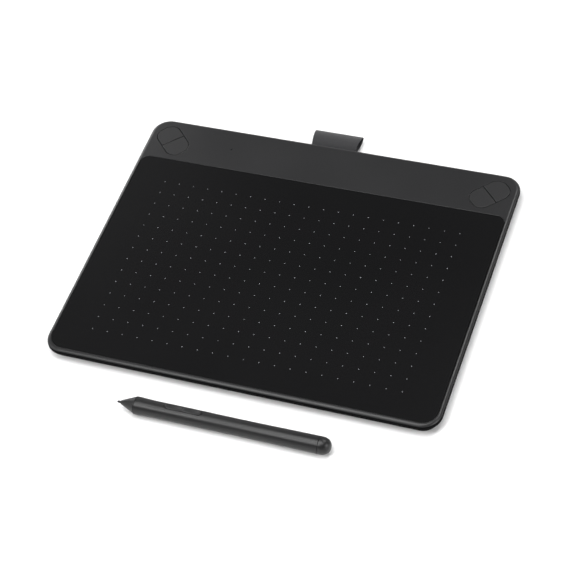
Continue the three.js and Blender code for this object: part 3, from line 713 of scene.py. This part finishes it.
def add_screw_bosses(shape):
    """Posts under the top case with a pilot hole for each case screw; returns their rings in the ceiling."""
    boss_radius, pilot_radius = 2.6, 1.05
    boss_end, pilot_end = 4.5, 7.8
    levels = [
        (boss_radius, CEILING_MM), (boss_radius, boss_end),
        (pilot_radius, boss_end), (pilot_radius, pilot_end),
    ]
    rows = []
    for centre in screw_places():
        ceiling, pilot = skin(shape, [round_ring(centre, radius, z) for radius, z in levels])
        fill(shape, pilot)
        rows.append(ceiling)
    return rows


PAD_LIP_SHARE = 0.7
PIPE_HOLE_RADIUS_MM = 0.75
PIPE_LIP_MM = 0.08


def top_case_shape():
    """The upper moulding: a rounded edge, a recess for the film, two key openings and the light's hole."""
    edge_inset = sizes().edge_inset / MM
    edge_drop = sizes().edge_drop / MM
    lip = sizes().lip_rounding / MM
    light = (LIGHT_LOW + LIGHT_HIGH) / 2
    shape = bmesh.new()
    levels = [(WALL_MM, CEILING_MM), (WALL_MM, PARTING_MM), (lip, PARTING_MM), (0, PARTING_MM + lip)]
    levels += [(inset, CASE_TOP - edge_drop + rise) for inset, rise in rounding(edge_inset, edge_drop, 12)]
    levels.append((edge_inset + FLAT_MARGIN_MM, CASE_TOP))
    inside, outside = skin(shape, [case_ring(inset, z) for inset, z in levels])
    recess, floor = lipped_hole(
        shape, lambda grow, z: film_ring(-grow - SHEET_GAP_MM, z), lip, RECESS_FLOOR_MM)
    fill(shape, floor)
    pad_lip = lip * PAD_LIP_SHARE
    pads = [
        lipped_hole(shape, lambda grow, z, side=side: pad_ring(side, grow, z), pad_lip, CEILING_MM)
        for side in (-1, 1)
    ]
    pipe_hole = lipped_hole(
        shape, lambda grow, z: round_ring(light, PIPE_HOLE_RADIUS_MM + grow, z), PIPE_LIP_MM, CEILING_MM)
    fill(shape, outside, recess, pads[0][0], pads[1][0], pipe_hole[0])
    fill(shape, inside, pads[0][1], pads[1][1], pipe_hole[1], *add_screw_bosses(shape))
    return shape


def case_openings():
    """Cutters for the cable port in the left side and the touch switch's slot in the back edge."""
    port_low, port_high = box_mm("usb_shell")
    knob_low, knob_high = box_mm("touch_switch_knob")
    travel = joint_named("touch_switch_slide")["range_m"][1] / MM
    middle = (knob_low.x + knob_high.x + travel) / 2
    room, room_over_port, room_under_knob = 0.3, 0.18, 0.1
    slot_half, slot_depth = 3.5, 5
    beyond, below_parting = 2, 1
    port = box_shape((CASE_LOW.x - beyond, port_low.y - room, PARTING_MM - below_parting),
                     (port_high.x, port_high.y + room, port_high.z + room_over_port))
    slot = box_shape((middle - slot_half, CASE_HIGH.y - slot_depth, knob_low.z - room_under_knob),
                     (middle + slot_half, CASE_HIGH.y + beyond, knob_high.z + room))
    return [finished_mesh(port, "port_cutter"), finished_mesh(slot, "slot_cutter")]


STEEP_DEGREES = 58


def paint_shade_on_sides(case):
    """Gives the steep faces round the outside of the upper moulding, below the film, the coarser texture and
    darker, duller finish of the lower one: painted shade that keeps the sides black.
    """
    case.data.materials.append(finish_of("base_plastic"))
    limit = math.cos(math.radians(STEEP_DEGREES))
    for face in case.data.polygons:
        # Steep faces below the film take the darker finish as painted shade.
        steep = face.normal.z < limit
        face.material_index = 1 if steep and face.center.z < SHEET_LOW.z * MM else 0


class TABLET_OT_case(bpy.types.Operator):
    """Build the upper moulding of the case"""

    bl_idname = "tablet.case"
    bl_label = "Upper case"

    def execute(self, context):
        case = finished_mesh(top_case_shape(), "upper_case")
        carve(case, case_openings())
        dress(case, "case_plastic", "tablet", "top_case")
        paint_shade_on_sides(case)
        return {"FINISHED"}


# ------------------------------------------------------------------------------ drawing film


def film_shape():
    """The film: a thin slab with a small radius round its upper edge."""
    edge = sizes().film_rounding / MM
    shape = bmesh.new()
    levels = [(0, SHEET_LOW.z)]
    levels += [(inset, SHEET_HIGH.z - edge + rise) for inset, rise in rounding(edge, edge, 3)]
    levels.append((edge + FLAT_MARGIN_MM, SHEET_HIGH.z))
    bottom, top = skin(shape, [film_ring(inset, z) for inset, z in levels])
    fill(shape, bottom)
    fill(shape, top)
    return shape


MARKS_ACROSS = 21
MARKS_DEEP = 14
MARKS_CENTRE_MM = Vector((-0.65, -9.77, 0))
INK_MM = 0.02


def marks_shape():
    """Printed marks on a grid over the active area, each a thin disc of ink."""
    shape = bmesh.new()
    radius = sizes().mark_size / MM / 2
    step_x = sizes().mark_spacing_x / MM
    step_y = sizes().mark_spacing_y / MM
    for row in range(MARKS_DEEP):
        for column in range(MARKS_ACROSS):
            centre = MARKS_CENTRE_MM + Vector((
                (column - (MARKS_ACROSS - 1) / 2) * step_x,
                (row - (MARKS_DEEP - 1) / 2) * step_y,
                0,
            ))
            low, high = skin(shape, [
                round_ring(centre, radius, SHEET_HIGH.z + lift, 12) for lift in (0, INK_MM)
            ])
            fill(shape, low)
            fill(shape, high)
    return shape


class TABLET_OT_film(bpy.types.Operator):
    """Build the drawing film and the marks printed on it"""

    bl_idname = "tablet.film"
    bl_label = "Drawing film"

    def execute(self, context):
        dress(finished_mesh(film_shape(), "drawing_film"), "sheet_film", "tablet", "drawing_sheet")
        marks = finished_mesh(marks_shape(), "printed_marks")
        marks.data.materials.append(screen_ink())
        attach(marks, "tablet")
        return {"FINISHED"}


# ------------------------------------------------------------------------------ keys


KEY_SPLIT_MM = 0.25
KEY_FLANGE_MM = 0.9
KEY_FLANGE_TOP_MM = 8.2
KEY_FLANGE_THICKNESS_MM = 0.55
KEY_POST_MM = Vector((6.6, 0, 0))
KEY_POST_RADIUS_MM = 1.6


def half_pad_ring(inset, split, z, steps=10):
    """Points round one half of a key pad, drawn along +X, with a straight side at the split."""
    reach = PAD_LENGTH_MM / 2 - PAD_GAP_MM - inset
    half = PAD_WIDTH_MM / 2 - PAD_GAP_MM - inset
    radius = PAD_CORNER_MM - PAD_GAP_MM - inset
    points = [Vector((split, half, z)), Vector((split, -half, z))]
    for first, centre_y in ((-1, radius - half), (0, half - radius)):
        for step in range(steps + 1):
            angle = (first + step / steps) * QUARTER
            points.append(Vector((
                reach - radius + radius * math.cos(angle), centre_y + radius * math.sin(angle), z)))
    return points


def key_shape(lowest):
    """A key: its cap with a soft upper edge, the flange that holds it in and the post over its switch."""
    edge = sizes().key_rounding / MM
    flange_low = KEY_FLANGE_TOP_MM - KEY_FLANGE_THICKNESS_MM
    shape = bmesh.new()
    levels = [(-KEY_FLANGE_MM, 0, z) for z in (flange_low, KEY_FLANGE_TOP_MM)]
    levels.append((0, 0, KEY_FLANGE_TOP_MM))
    levels += [(inset, inset, KEY_TOP_MM - edge + rise) for inset, rise in rounding(edge, edge, 5)]
    levels.append((edge + FLAT_MARGIN_MM, edge + FLAT_MARGIN_MM, KEY_TOP_MM))
    bottom, top = skin(shape, [half_pad_ring(inset, KEY_SPLIT_MM + cut, z) for inset, cut, z in levels])
    post_top, post_end = skin(shape, [
        round_ring(KEY_POST_MM, KEY_POST_RADIUS_MM, z) for z in (flange_low, lowest)
    ])
    fill(shape, top)
    fill(shape, bottom, post_top)
    fill(shape, post_end)
    return shape


class TABLET_OT_keys(bpy.types.Operator):
    """Build the four press keys"""

    bl_idname = "tablet.keys"
    bl_label = "Press keys"

    def execute(self, context):
        for side in (-1, 1):
            for end in (-1, 1):
                name = f"{'left' if side < 0 else 'right'}_{'outer' if end == side else 'inner'}_key"
                shape = key_shape(box_mm(name)[0].z)
                turn = Matrix.Identity(4) if end > 0 else Matrix.Rotation(math.pi, 4, "Z")
                shape.transform(pad_place(side) @ turn)
                dress(finished_mesh(shape, name + "_cap"), "key_plastic", name, name)
        return {"FINISHED"}


# ------------------------------------------------------------------------------ pen loop


TAPE_FLARE_MM = 0.9
TAPE_TUCK_MM = 0.3


def tape_line():
    """The middle of the folded tape in the Y-Z plane: out along the lower ply, back along the upper."""
    ply = sizes().tape_thickness / MM
    middle = (TAPE_LOW.z + TAPE_HIGH.z) / 2
    bulge = (TAPE_HIGH.z - TAPE_LOW.z) / 2 - ply / 2
    start = CASE_HIGH.y - TAPE_TUCK_MM
    end = TAPE_HIGH.y - ply / 2
    upper = [
        (start, ply / 2), (start + 1.6, ply / 2 + 0.1), (start + 4.6, bulge * 0.72), (start + 8.4, bulge),
        (start + 12.2, bulge * 0.86), (end - 1.0, bulge * 0.42), (end, 0.0),
    ]
    half = smooth_curve(upper, 6)
    lower = [(y, -z) for y, z in half]
    return [Vector((0, y, middle + z)) for y, z in lower + half[-2::-1]]


def tape_section(half_width, thickness):
    """The tape's section: two flat sides and two rounded selvedges, as (across, through) pairs."""
    half = thickness / 2
    selvedge = half_width - half
    side = [(selvedge * share, half) for share in (0.96, 0.6, 0.2, -0.2, -0.6, -0.96)]
    turns = [QUARTER * (step / 2 - 1) for step in range(5)]
    right = [(selvedge + half * math.cos(turn), half * math.sin(turn)) for turn in turns]
    return right + side + [(-x, -z) for x, z in right + side]


def tape_shape():
    """The folded tape, with its weave's places as a UV map; also returns the tape's length."""
    line = tape_line()
    middle = (TAPE_LOW.x + TAPE_HIGH.x) / 2
    half_width = (TAPE_HIGH.x - TAPE_LOW.x) / 2
    shape = bmesh.new()
    tape = shape.loops.layers.uv.new("tape")
    rows, travelled = [], [0.0]
    for i, point in enumerate(line):
        ahead = line[min(i + 1, len(line) - 1)] - line[max(i - 1, 0)]
        through = Vector((0, -ahead.z, ahead.y)).normalized()
        if i:
            travelled.append(travelled[-1] + (point - line[i - 1]).length)
        out = (point.y - line[0].y) / (TAPE_HIGH.y - line[0].y)
        section = tape_section(half_width + TAPE_FLARE_MM * (2 * out - 1), sizes().tape_thickness / MM)
        rows.append([shape.verts.new(point + Vector((middle + x, 0, 0)) + through * z) for x, z in section])
    count = len(section)
    for i, (low, high) in enumerate(zip(rows, rows[1:])):
        for j in range(count):
            k = (j + 1) % count
            face = shape.faces.new((low[j], low[k], high[k], high[j]))
            for loop, (side, row) in zip(face.loops, ((j, i), (k, i), (k, i + 1), (j, i + 1))):
                loop[tape].uv = (section[side][0] * MM, travelled[row] * MM)
    shape.faces.new(rows[0])
    shape.faces.new(list(reversed(rows[-1])))
    return shape, travelled[-1]


class TABLET_OT_loop(bpy.types.Operator):
    """Build the folded tape that holds the pen at the back edge"""

    bl_idname = "tablet.loop"
    bl_label = "Pen loop"

    def execute(self, context):
        shape, long = tape_shape()
        loop = finished_mesh(shape, "pen_loop_tape")
        dress(loop, "loop_textile", None, "pen_loop")
        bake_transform(loop)
        return {"FINISHED"}


# ------------------------------------------------------------------------------ pen


BARREL_START_MM = 13.7
BARREL_END_MM = 139.3
BORE_MM = 4.6
SWITCH_START_MM = 34.2
SWITCH_END_MM = 59.8
SWITCH_HALF_MM = 2.1
SWITCH_GAP_MM = 0.35
SWITCH_TOP_MM = 6.15
SWITCH_KEEL_MM = 4.0
SWITCH_CROWN_MM = 6.2
SWITCH_EDGE_MM = 0.18
DISH_PLACE_MM = 6.2
DISH_RADIUS_MM = 30.0
DISH_DEPTH_MM = 0.45
GROOVE_HALF_MM = 0.35
GROOVE_DEPTH_MM = 0.4
SWITCH_POST_PLACE_MM = 6.5
SWITCH_POST_RADIUS_MM = 0.9
SWITCH_POST_END_MM = 3.4
WINDOW_CUT_MM = (1.0, 9.0)


def cone_profile():
    """The pen's front: a straight cone with a small mouth, and a crisp shoulder before the barrel."""
    return [
        (2.7, 1.0), (2.7, 1.24), (2.76, 1.3), (3.1, 1.5), (3.5, 1.7), (8.0, 3.67), (12.3, 5.55), (12.7, 5.72),
        (13.05, 5.88), (13.3, 5.96), (13.45, 5.94), (13.5, 5.86), (13.5, 4.4), (18.5, 4.4), (18.5, 3.5),
        (10.5, 3.5), (7.5, 1.0),
    ]


def barrel_profile():
    """The barrel is full at the shoulder, narrows to its middle and grows again towards the cap."""
    edge = 0.08
    front, back = 6.0, 5.85
    outside = smooth_curve(
        [(BARREL_START_MM + edge, front), (16, 5.98), (22, 5.78), (30, 5.68), (45, 5.68), (62, 5.6),
         (78, 5.5), (95, 5.55), (115, 5.7), (132, 5.82), (BARREL_END_MM - edge, back)], 4)
    return [
        (BARREL_START_MM, BORE_MM), (BARREL_START_MM, front - edge), *outside, (BARREL_END_MM, back - edge),
        (BARREL_END_MM, BORE_MM),
    ]


def end_cap_profile():
    """A plug in the barrel and a rounded end."""
    dome = smooth_curve([(139.6, 5.85), (141.5, 5.8), (143.6, 5.35), (145.3, 4.4), (146.5, 2.9), (147, 1.2),
                         (147.1, 0.0)], 4)
    return [(130, 0), (130, 4.3), (130.2, 4.4), (139.5, 4.4), (139.5, 5.76), *dome]


def nib_profile():
    """A rounded tip on a straight stem."""
    return [(0, 0), *smooth_curve([(0.03, 0.2), (0.12, 0.42), (0.45, 0.68), (1.0, 0.8)], 4), (25.8, 0.8),
            (26, 0.6), (26, 0)]


def slot_ring(grow, z):
    """Points round the side switch's outline, drawn in the pen's own axes."""
    bounds = (SWITCH_START_MM, SWITCH_END_MM, -SWITCH_HALF_MM, SWITCH_HALF_MM)
    return rounded_ring(bounds, -grow, (SWITCH_HALF_MM, SWITCH_HALF_MM), z, 8)


def window_cutter(place):
    """The cutter for the side switch's window in the upper wall of the barrel."""
    shape = bmesh.new()
    low, high = skin(shape, [slot_ring(SWITCH_GAP_MM, z) for z in WINDOW_CUT_MM])
    fill(shape, low)
    fill(shape, high)
    return finished_mesh(shape, "window_cutter", place)


def switch_height(along):
    """The rocker's crown: a shallow dish in each half, and a fine groove at the pivot between them."""
    offset = abs(along - PEN_PIVOT_MM.x)
    from_dish = offset - DISH_PLACE_MM
    dish = DISH_DEPTH_MM - (DISH_RADIUS_MM - math.sqrt(max(DISH_RADIUS_MM ** 2 - from_dish ** 2, 0)))
    groove = GROOVE_DEPTH_MM * max(0.0, 1 - offset / GROOVE_HALF_MM)
    return SWITCH_TOP_MM - max(dish, 0) - groove


def switch_stations():
    """Where the rocker's sections lie along the pen, with each one's half width."""
    steps = 60
    straight = SWITCH_END_MM - SWITCH_START_MM - 2 * SWITCH_HALF_MM
    start = [(SWITCH_START_MM + inset, half) for inset, half in rounding(SWITCH_HALF_MM, SWITCH_HALF_MM)[1:]]
    middle = [
        (SWITCH_START_MM + SWITCH_HALF_MM + straight * step / steps, SWITCH_HALF_MM)
        for step in range(1, steps)
    ]
    end = [(SWITCH_START_MM + SWITCH_END_MM - x, half) for x, half in reversed(start)]
    return start + middle + end


def switch_shape():
    """The two-way rocker: a crowned cap on a keel."""
    shape = bmesh.new()
    sections = []
    across = 12
    flat_share = 0.8
    for along, half in switch_stations():
        height = switch_height(along)
        ring = [Vector((along, half, SWITCH_KEEL_MM))]
        for step in range(across + 1):
            share = math.cos(math.pi * step / across)
            y = half * share
            crown = y * y / (2 * SWITCH_CROWN_MM)
            soft = SWITCH_EDGE_MM * max(0.0, (abs(share) - flat_share) / (1 - flat_share)) ** 2
            near_end = SWITCH_EDGE_MM * max(0.0, 1 - half / SWITCH_HALF_MM)
            ring.append(Vector((along, y, height - crown - soft - near_end)))
        ring.append(Vector((along, -half, SWITCH_KEEL_MM)))
        sections.append(ring)
    first, last = skin(shape, sections)
    fill(shape, first)
    fill(shape, last)
    return shape


def switch_posts(place):
    """The two posts under the rocker, one over each small switch."""
    clearance = 0.01
    levels = (SWITCH_POST_END_MM, SWITCH_KEEL_MM - clearance)
    shape = bmesh.new()
    for side in (-1, 1):
        centre = Vector((PEN_PIVOT_MM.x + side * SWITCH_POST_PLACE_MM, 0, 0))
        low, high = skin(shape, [round_ring(centre, SWITCH_POST_RADIUS_MM, z, 16) for z in levels])
        fill(shape, low)
        fill(shape, high)
    return finished_mesh(shape, "side_switch_posts", place)


class TABLET_OT_pen(bpy.types.Operator):
    """Build the pen's front cone, barrel, end cap and nib"""

    bl_idname = "tablet.pen"
    bl_label = "Pen"

    def execute(self, context):
        place = pen_place()
        crease = FINE_CREASE_DEGREES
        cone = finished_mesh(turned_shape(cone_profile()), "pen_front_cone", place, crease)
        dress(cone, "pen_plastic", "pen", "pen_cone")
        barrel = finished_mesh(turned_shape(barrel_profile()), "pen_barrel_shell", place, crease)
        carve(barrel, [window_cutter(place)], crease)
        dress(barrel, "pen_plastic", "pen", "pen_barrel")
        cap = finished_mesh(turned_shape(end_cap_profile()), "pen_end_cap_dome", place, crease)
        dress(cap, "pen_plastic", "pen", "pen_end_cap")
        nib = finished_mesh(turned_shape(nib_profile(), 32), "pen_nib_tip", place, crease)
        dress(nib, "nib_plastic", "nib", "pen_nib")
        return {"FINISHED"}


class TABLET_OT_side_switch(bpy.types.Operator):
    """Build the pen's two-way side switch"""

    bl_idname = "tablet.side_switch"
    bl_label = "Side switch"

    def execute(self, context):
        place = pen_place()
        rocker = finished_mesh(switch_shape(), "side_switch_rocker", place)
        dress(rocker, "key_plastic", "side_switch", "pen_side_switch")
        dress(switch_posts(place), "key_plastic", "side_switch")
        return {"FINISHED"}


# ------------------------------------------------------------------------------ underside and small mouldings


class TABLET_OT_underside(bpy.types.Operator):
    """Refine the lower moulding, its bay cover, the feet and the small mouldings at the edges"""

    bl_idname = "tablet.underside"
    bl_label = "Underside"

    def execute(self, context):
        width = sizes().moulding_break / MM
        refined_copy("bottom_case", "tablet", "base_plastic", width)
        refined_copy("bay_cover", "bay_cover", "base_plastic", width * 0.6)
        refined_copy("touch_switch_knob", "touch_knob", "key_plastic", width * 0.4)
        for name in ("front_left", "front_right", "back_left", "back_right"):
            refined_copy(f"{name}_foot", "tablet", "foot_rubber", width)
        return {"FINISHED"}


class TABLET_OT_inside(bpy.types.Operator):
    """Give every frame node the finish of its slot"""

    bl_idname = "tablet.inside"
    bl_label = "Inner pieces"

    def execute(self, context):
        slots = {row["node"]: row["material_slot"] for row in frame["record"]["subparts"]}
        for name, node in frame["nodes"].items():
            for material_slot in node.material_slots:
                material_slot.material = finish_of(slots[name])
        return {"FINISHED"}


# ------------------------------------------------------------------------------ studio


CAMERA_TARGET = Vector((0.0058, -0.0120, 0.010))
CAMERA_AZIMUTH = math.radians(27.73)
CAMERA_ELEVATION = math.radians(50.33)
CAMERA_ROLL = math.radians(-11.23)
CAMERA_DISTANCE = 1.2422
CAMERA_LENS = 116.8
SENSOR_WIDTH = 36.0
FLOOR_RADIUS = 12.0


def direction(azimuth, elevation):
    """A unit vector; azimuth 0 points to the front and 90 degrees to the right."""
    flat = math.cos(elevation)
    return Vector((math.sin(azimuth) * flat, -math.cos(azimuth) * flat, math.sin(elevation)))


def add_camera():
    """The camera, turned a little about its own axis."""
    back = direction(CAMERA_AZIMUTH, CAMERA_ELEVATION)
    right = Vector((math.cos(CAMERA_AZIMUTH), math.sin(CAMERA_AZIMUTH), 0))
    up = back.cross(right)
    turned = Matrix((right, up, back)).transposed() @ Matrix.Rotation(CAMERA_ROLL, 3, "Z")
    data = bpy.data.cameras.new("camera")
    data.lens = CAMERA_LENS
    data.sensor_width = SENSOR_WIDTH
    camera = bpy.data.objects.new("camera", data)
    camera.matrix_world = Matrix.Translation(CAMERA_TARGET + back * CAMERA_DISTANCE) @ turned.to_4x4()
    bpy.context.scene.collection.objects.link(camera)
    bpy.context.scene.camera = camera


def add_softbox(name, place, size, power):
    """A square soft light that faces the tablet."""
    data = bpy.data.lights.new(name, "AREA")
    data.shape = "SQUARE"
    data.size = size
    data.energy = power
    light = bpy.data.objects.new(name, data)
    away = Vector(place)
    light.matrix_world = Matrix.Translation(away) @ away.to_track_quat("Z", "Y").to_matrix().to_4x4()
    bpy.context.scene.collection.objects.link(light)


def add_room():
    """Pale walls near the horizon and a dim ceiling, which the film mirrors."""
    world = bpy.data.worlds.new("studio_room")
    world.use_nodes = True
    tree = world.node_tree
    tree.nodes.clear()
    place = add_node(tree, "TexCoord").outputs["Generated"]
    height = add_node(tree, "SeparateXYZ", links={"Vector": place}).outputs["Z"]
    fade = between(tree, height, 0.0, 1.0, 0.1, 0.5)
    shade = tint(tree, fade, linear("ffffff"), linear("626262"))
    room = add_node(tree, "Background", {"Strength": 1.1}, {"Color": shade})
    add_node(tree, "OutputWorld", links={"Surface": room.outputs["Background"]})
    bpy.context.scene.world = world


def add_floor():
    """A round floor that reaches far past the tablet."""
    shape = bmesh.new()
    ring = round_ring(Vector((0, 0, 0)), FLOOR_RADIUS / MM, 0, 64)
    shape.faces.new([shape.verts.new(point) for point in ring])
    floor = finished_mesh(shape, "studio_floor")
    floor.data.materials.append(rolled_white_paint())


class TABLET_OT_studio(bpy.types.Operator):
    """Set up the camera, the floor, the room and the soft lights"""

    bl_idname = "tablet.studio"
    bl_label = "Studio"

    def execute(self, context):
        add_camera()
        add_room()
        add_floor()
        add_softbox("overhead_softbox", (-0.11, -0.11, 1.35), size=0.7, power=11)
        add_softbox("back_left_softbox", (-1.30, 1.15, 0.75), size=0.8, power=10)
        add_softbox("back_right_softbox", (0.50, 1.05, 1.45), size=0.55, power=10)
        add_softbox("left_softbox", (-1.50, -0.60, 1.10), size=0.9, power=5)
        add_softbox("right_softbox", (1.50, -0.30, 0.90), size=0.9, power=12)
        add_softbox("front_softbox", (-0.50, -0.85, 1.35), size=0.6, power=10)
        context.scene.view_settings.view_transform = "Standard"
        return {"FINISHED"}


# ------------------------------------------------------------------------------ panel and start


class TABLET_PT_panel(bpy.types.Panel):
    """The tablet's sizes, colours and pieces"""

    bl_idname = "TABLET_PT_panel"
    bl_label = "Pen drawing tablet"
    bl_space_type = "VIEW_3D"
    bl_region_type = "UI"
    bl_category = "Tablet"

    def draw(self, context):
        for group in (context.scene.tablet_sizes, context.scene.tablet_colours):
            column = self.layout.column()
            for name in group.__annotations__:
                column.prop(group, name)
        for operator in OPERATORS:
            self.layout.operator(operator.bl_idname)


OPERATORS = (
    TABLET_OT_studio,
    TABLET_OT_case,
    TABLET_OT_film,
    TABLET_OT_keys,
    TABLET_OT_loop,
    TABLET_OT_pen,
    TABLET_OT_side_switch,
    TABLET_OT_underside,
    TABLET_OT_inside,
)
CLASSES = (TabletSizes, TabletColours, *OPERATORS, TABLET_PT_panel)


def register():
    for made in CLASSES:
        bpy.utils.register_class(made)
    bpy.types.Scene.tablet_sizes = bpy.props.PointerProperty(type=TabletSizes)
    bpy.types.Scene.tablet_colours = bpy.props.PointerProperty(type=TabletColours)


def unregister():
    del bpy.types.Scene.tablet_colours
    del bpy.types.Scene.tablet_sizes
    for made in reversed(CLASSES):
        bpy.utils.unregister_class(made)


def main():
    register()
    for operator in OPERATORS:
        group, name = operator.bl_idname.split(".")
        getattr(getattr(bpy.ops, group), name)()


if __name__ == "__main__":
    main()
